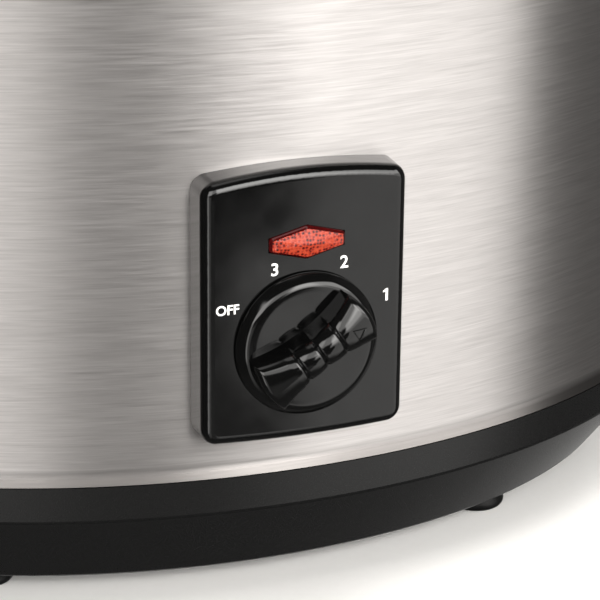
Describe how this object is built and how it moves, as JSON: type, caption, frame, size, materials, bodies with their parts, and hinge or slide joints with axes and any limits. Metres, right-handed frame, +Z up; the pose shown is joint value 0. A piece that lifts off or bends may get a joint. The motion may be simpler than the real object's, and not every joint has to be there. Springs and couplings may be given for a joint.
{
  "type": "slow cooker",
  "caption": "Oval slow cooker: brushed steel body on a black base, with a rotary heat control, red lamp, lift-out stoneware crock, glass lid and side handles.",
  "frame": {"origin": "under the middle of the oval, on the surface that the feet stand on", "axes": "+X along the long axis of the oval, through the right-hand handle; +Y to the back, away from the control panel; +Z up"},
  "size_m": [0.442, 0.2965, 0.2645],
  "materials": {
    "brushed_stainless": "brushed along the wrap",
    "black_base_plastic": "satin moulded",
    "black_gloss_plastic": "gloss moulded",
    "rubber_feet": "matt moulded",
    "aluminised_liner": "spun, dull",
    "heater_foil": "foil over mica",
    "zinc_steel": "zinc plated",
    "brass_terminal": "bright",
    "red_lens": "translucent red",
    "neon_glass": "clear tube",
    "white_nylon": "moulded",
    "phenolic_switch": "moulded phenolic",
    "black_stoneware": "glossy glaze",
    "lid_glass": "clear tempered",
    "silicone": "soft, matt",
    "wire_silicone": "sleeved wire"
  },
  "bodies": {
    "housing": {"base_tray": "black_base_plastic", "clamp_nut": "zinc_steel", "clamp_stud": "zinc_steel", "clamp_washer": "zinc_steel", "control_panel": "black_gloss_plastic", "cord_gland": "black_base_plastic", "foot_front_left": "rubber_feet", "foot_front_right": "rubber_feet", "foot_rear_left": "rubber_feet", "foot_rear_right": "rubber_feet", "fuse_clip": "zinc_steel", "gland_nut": "black_base_plastic", "handle_left": "black_base_plastic", "handle_right": "black_base_plastic", "handle_screws": "zinc_steel", "heater_band": "heater_foil", "heater_clamp_bolt": "zinc_steel", "heater_terminals": "brass_terminal", "indicator_lens": "red_lens", "inner_liner": "aluminised_liner", "lamp_holder": "white_nylon", "lamp_leads": "wire_silicone", "neon_lamp": "neon_glass", "outer_shell": "brushed_stainless", "panel_screws": "zinc_steel", "switch_case": "phenolic_switch", "switch_screws": "zinc_steel", "switch_terminals": "brass_terminal", "terminal_block": "white_nylon", "terminal_screws": "brass_terminal", "thermal_fuse": "zinc_steel", "wire_high": "wire_silicone", "wire_live": "wire_silicone", "wire_low": "wire_silicone", "wire_neutral": "wire_silicone"},
    "selector": {"control_knob": "black_gloss_plastic", "switch_shaft": "zinc_steel", "knob_spring_clip": "zinc_steel"},
    "crock": {"crock": "black_stoneware"},
    "lid": {"lid_glass": "lid_glass", "lid_rim": "brushed_stainless", "lid_knob": "black_base_plastic", "lid_washer": "silicone", "lid_screw": "zinc_steel", "steam_vent": "silicone"}
  },
  "joints": [
    {"name": "knob_turn", "type": "hinge", "parent": "housing", "child": "selector", "pos_m": [0, -0.1447, 0.0902], "axis": [0, -1, 0], "range_deg": [0, 114]},
    {"name": "crock_lift", "type": "slide", "parent": "housing", "child": "crock", "axis": [0, 0, 1], "range_m": [0, 0.2]},
    {"name": "lid_lift", "type": "slide", "parent": "crock", "child": "lid", "axis": [0, 0, 1], "range_m": [0, 0.12]}
  ]
}
